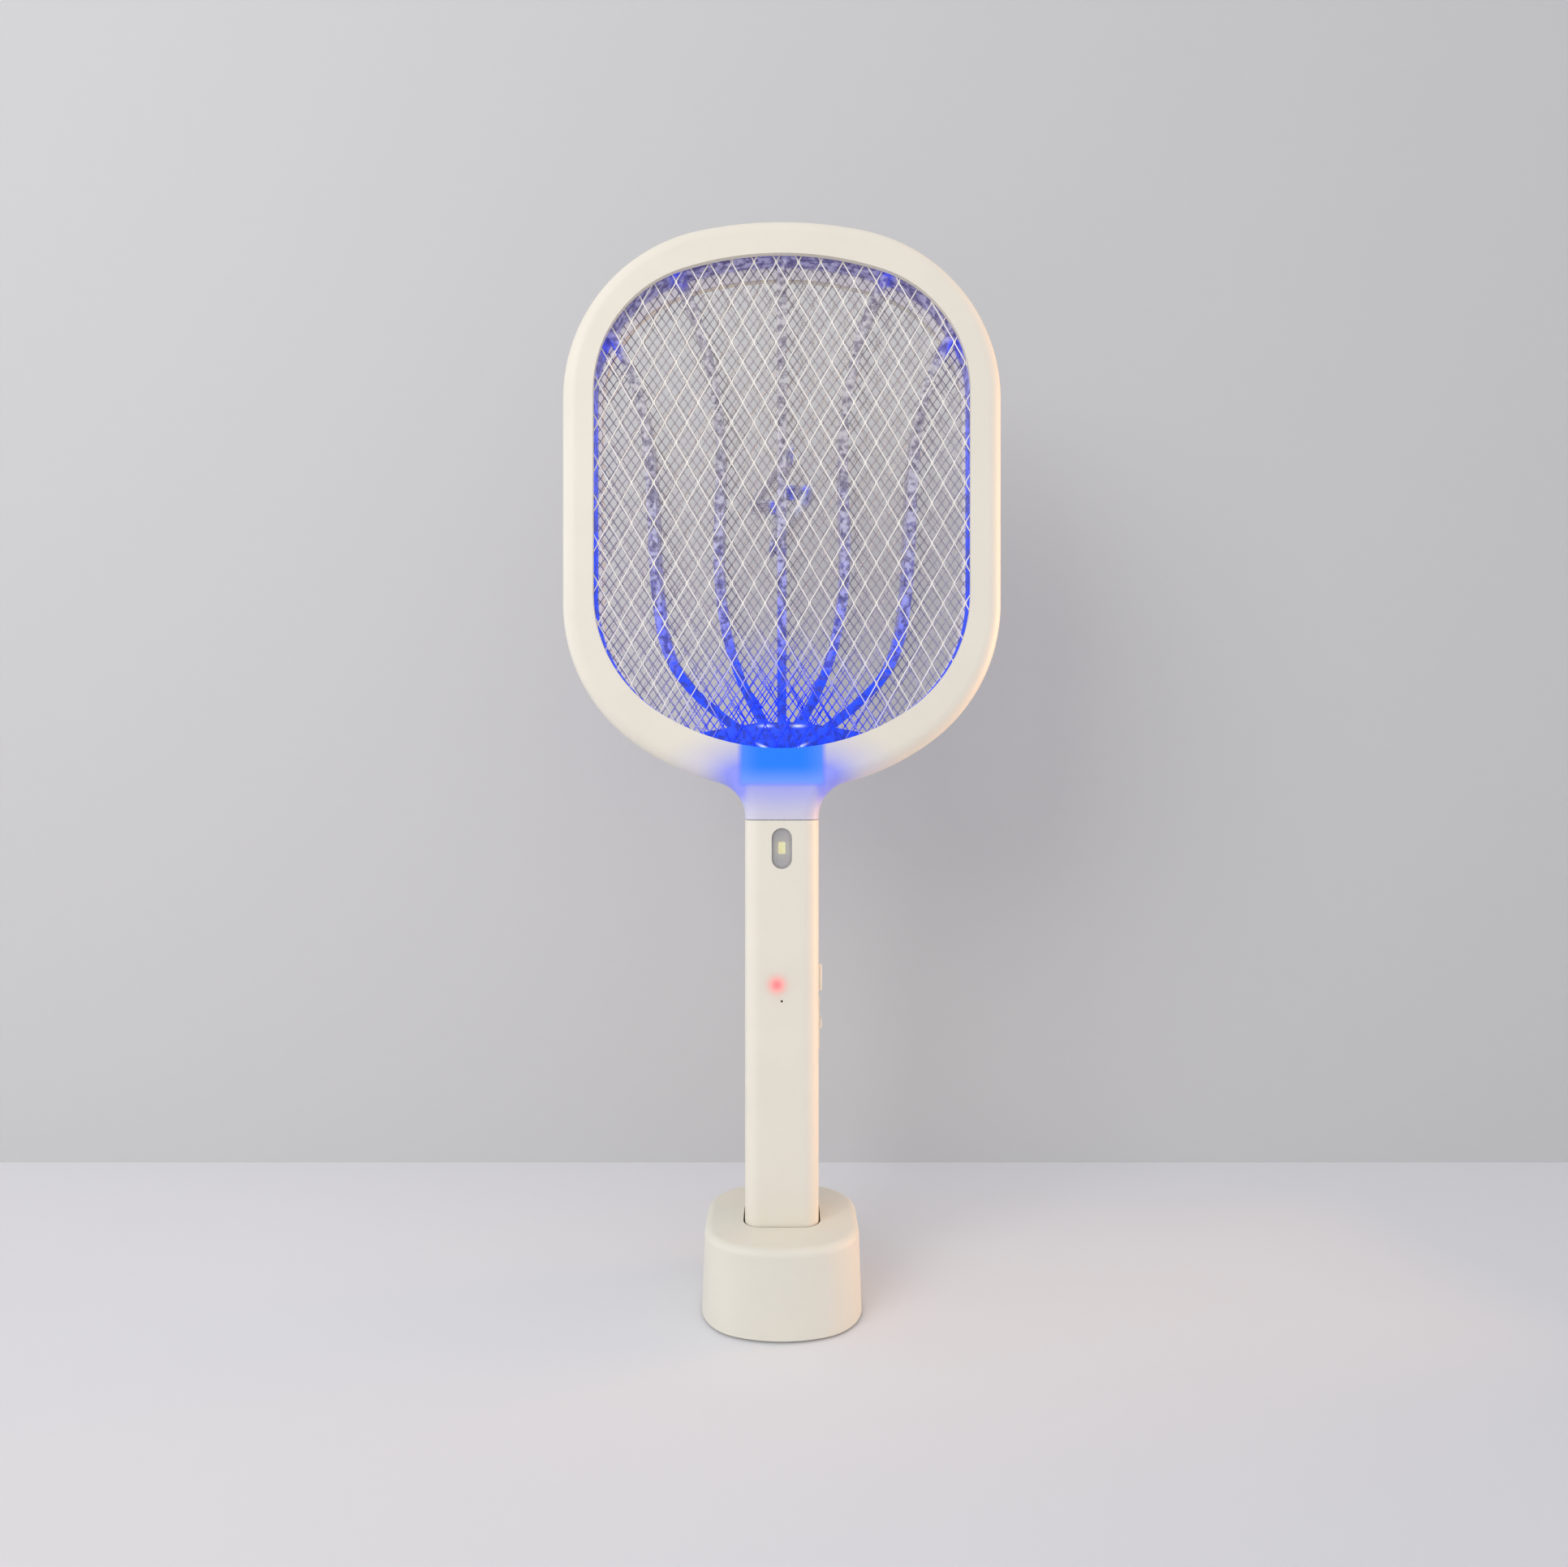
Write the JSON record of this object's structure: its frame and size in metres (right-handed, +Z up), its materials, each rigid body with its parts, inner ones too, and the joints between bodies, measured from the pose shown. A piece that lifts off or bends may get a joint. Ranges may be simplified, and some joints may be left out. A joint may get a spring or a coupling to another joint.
{
  "type": "electric fly swatter",
  "caption": "Rechargeable electric insect swatter with an oval three-layer mesh head, a light-guide rim, a slim rectangular handle and a charging base that it stands in.",
  "frame": {"origin": "centre of the base's footprint, on the surface that its four rubber feet stand on", "axes": "+Z up along the handle, -Y out of the front, which has the light window and the indicator, +X towards the side with the push button and the slide switch"},
  "size_m": [0.202, 0.073, 0.4995],
  "materials": {
    "cream_shell": "fine satin cream ABS",
    "base_shell": "fine satin cream ABS",
    "liner": "satin moulded plastic",
    "clear_guide": "clear moulded acrylic",
    "lens": "clear polished lens",
    "guard_wire": "bright expanded aluminium",
    "live_wire": "bright expanded aluminium",
    "steel": "zinc plated",
    "gold_contact": "gold flashed",
    "board": "green solder mask",
    "dark_plastic": "black moulded plastic",
    "reflector": "silvered",
    "led": "phosphor yellow",
    "lamp_led": "clear epoxy",
    "button": "satin cream ABS",
    "slider": "satin cream ABS",
    "capacitor": "dipped epoxy",
    "winding": "taped winding",
    "cell_wrap": "shrink sleeve",
    "lead": "insulated lead",
    "rubber": "soft black rubber"
  },
  "bodies": {
    "base": {"base_shell": "base_shell", "well_liner": "liner", "base_bottom_cover": "liner", "base_ballast": "steel", "base_feet": "rubber", "base_screws": "steel", "dock_board": "board", "usb_c_socket": "steel", "dock_pin_barrels": "gold_contact", "dock_spring_left": "steel", "dock_spring_right": "steel"},
    "dock_pin_left": {"dock_pin_left": "gold_contact"},
    "dock_pin_right": {"dock_pin_right": "gold_contact"},
    "swatter": {"head_front_frame": "cream_shell", "head_rear_frame": "cream_shell", "head_screws": "steel", "front_spacer": "clear_guide", "rear_spacer": "clear_guide", "front_guard_mesh": "guard_wire", "live_mesh": "live_wire", "rear_guard_mesh": "guard_wire", "lamp_board": "board", "lamp_leds": "lamp_led", "lamp_lens": "lens", "lamp_leads": "lead", "high_voltage_leads": "lead", "handle_front_shell": "cream_shell", "handle_rear_shell": "cream_shell", "handle_screws": "steel", "light_lens": "lens", "light_reflector": "reflector", "light_board": "board", "light_led": "led", "main_board": "board", "step_up_transformer": "winding", "high_voltage_capacitors": "capacitor", "board_diodes": "dark_plastic", "indicator_led": "led", "indicator_guide": "lens", "push_switch_body": "dark_plastic", "slide_switch_body": "steel", "switch_bezel": "slider", "battery_cell": "cell_wrap", "battery_tabs": "steel", "battery_leads": "lead", "charge_leads": "lead", "contact_carrier": "cream_shell", "charge_contacts": "gold_contact"},
    "trigger": {"trigger_button": "button", "push_switch_plunger": "dark_plastic"},
    "mode_slider": {"mode_slider_knob": "slider", "slide_switch_actuator": "dark_plastic"}
  },
  "joints": [
    {"name": "lift_off", "type": "slide", "parent": "base", "child": "swatter", "axis": [0, 0, 1], "range_m": [0, 0.04]},
    {"name": "dock_pin_left_press", "type": "slide", "parent": "base", "child": "dock_pin_left", "axis": [0, 0, 1], "range_m": [-0.001, 0], "stiffness_N_per_m": 600, "deforming": ["dock_spring_left"]},
    {"name": "dock_pin_right_press", "type": "slide", "parent": "base", "child": "dock_pin_right", "axis": [0, 0, 1], "range_m": [-0.001, 0], "stiffness_N_per_m": 600, "deforming": ["dock_spring_right"]},
    {"name": "trigger_press", "type": "slide", "parent": "swatter", "child": "trigger", "axis": [-1, 0, 0], "range_m": [0, 0.0008], "stiffness_N_per_m": 800},
    {"name": "mode_slide", "type": "slide", "parent": "swatter", "child": "mode_slider", "axis": [0, 0, 1], "range_m": [-0.002, 0.002]}
  ]
}
